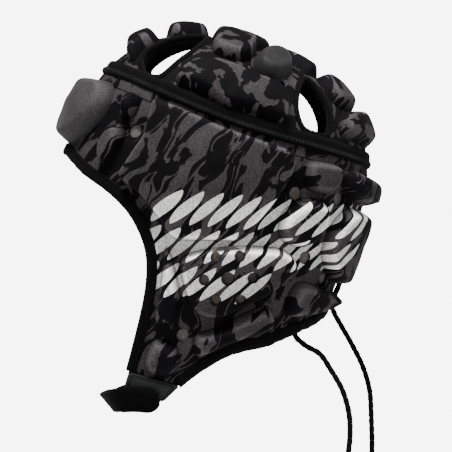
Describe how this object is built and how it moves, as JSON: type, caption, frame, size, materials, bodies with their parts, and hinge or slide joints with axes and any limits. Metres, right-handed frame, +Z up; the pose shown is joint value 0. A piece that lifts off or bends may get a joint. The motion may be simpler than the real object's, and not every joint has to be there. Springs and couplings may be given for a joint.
{
  "type": "rugby scrum cap",
  "caption": "Padded open-crown head guard with ear flaps, padded chin strap and rear lacing, held in its worn shape.",
  "frame": {"origin": "highest point of the crown cloth's inner face, where the top of the wearer's head carries the cap", "axes": "+Z up; the face opening looks to -Y and the nape to +Y; the wearer's left is +X; the cap is tilted back by 19.8 degrees as worn"},
  "size_m": [0.1806, 0.2295, 0.3059],
  "materials": {
    "patterned_cloth": "grey and black printed knit laminated to foam",
    "plain_pad_cloth": "plain grey printed knit laminated to foam",
    "black_trim": "black folded knit tape",
    "patch_vinyl": "dark grey-green coated fabric, fine grain",
    "strap_pile": "black pile fabric over foam",
    "lace": "black round braided lace"
  },
  "bodies": {
    "root": {"lower_cloth": "patterned_cloth", "crown_cloth": "patterned_cloth", "seam_tape": "black_trim", "face_binding": "black_trim", "nape_binding_left": "black_trim", "nape_binding_right": "black_trim", "upper_temple_pad_left": "patterned_cloth", "upper_temple_pad_right": "patterned_cloth", "lower_temple_pad_left": "patterned_cloth", "lower_temple_pad_right": "patterned_cloth", "side_pad_left": "patterned_cloth", "side_pad_right": "patterned_cloth", "ear_pad_left": "patterned_cloth", "ear_pad_right": "patterned_cloth", "front_ear_pad_left": "patterned_cloth", "front_ear_pad_right": "patterned_cloth", "flap_pad_left": "patterned_cloth", "flap_pad_right": "patterned_cloth", "jaw_pad_left": "patterned_cloth", "jaw_pad_right": "patterned_cloth", "rear_upper_pad_left": "patterned_cloth", "rear_upper_pad_right": "patterned_cloth", "rear_middle_pad_left": "patterned_cloth", "rear_middle_pad_right": "patterned_cloth", "rear_slab_left": "patterned_cloth", "rear_slab_right": "patterned_cloth", "rear_lower_pad_left": "patterned_cloth", "rear_lower_pad_right": "patterned_cloth", "crown_side_pad_left": "patterned_cloth", "crown_side_pad_right": "patterned_cloth", "crown_hub_side_pad_left": "plain_pad_cloth", "crown_hub_side_pad_right": "plain_pad_cloth", "brow_pad": "plain_pad_cloth", "front_arm_pad": "patterned_cloth", "front_arm_top_pad": "patterned_cloth", "crown_hub_pad": "patterned_cloth", "rear_arm_top_pad": "patterned_cloth", "rear_arm_middle_pad": "patterned_cloth", "rear_arm_pad": "patterned_cloth", "nape_pad": "patterned_cloth", "strap_patch_left": "patch_vinyl", "strap_patch_right": "patch_vinyl", "chin_strap": "strap_pile", "rear_lacing": "lace", "lace_tail_left": "lace", "lace_tail_right": "lace"}
  },
  "joints": []
}
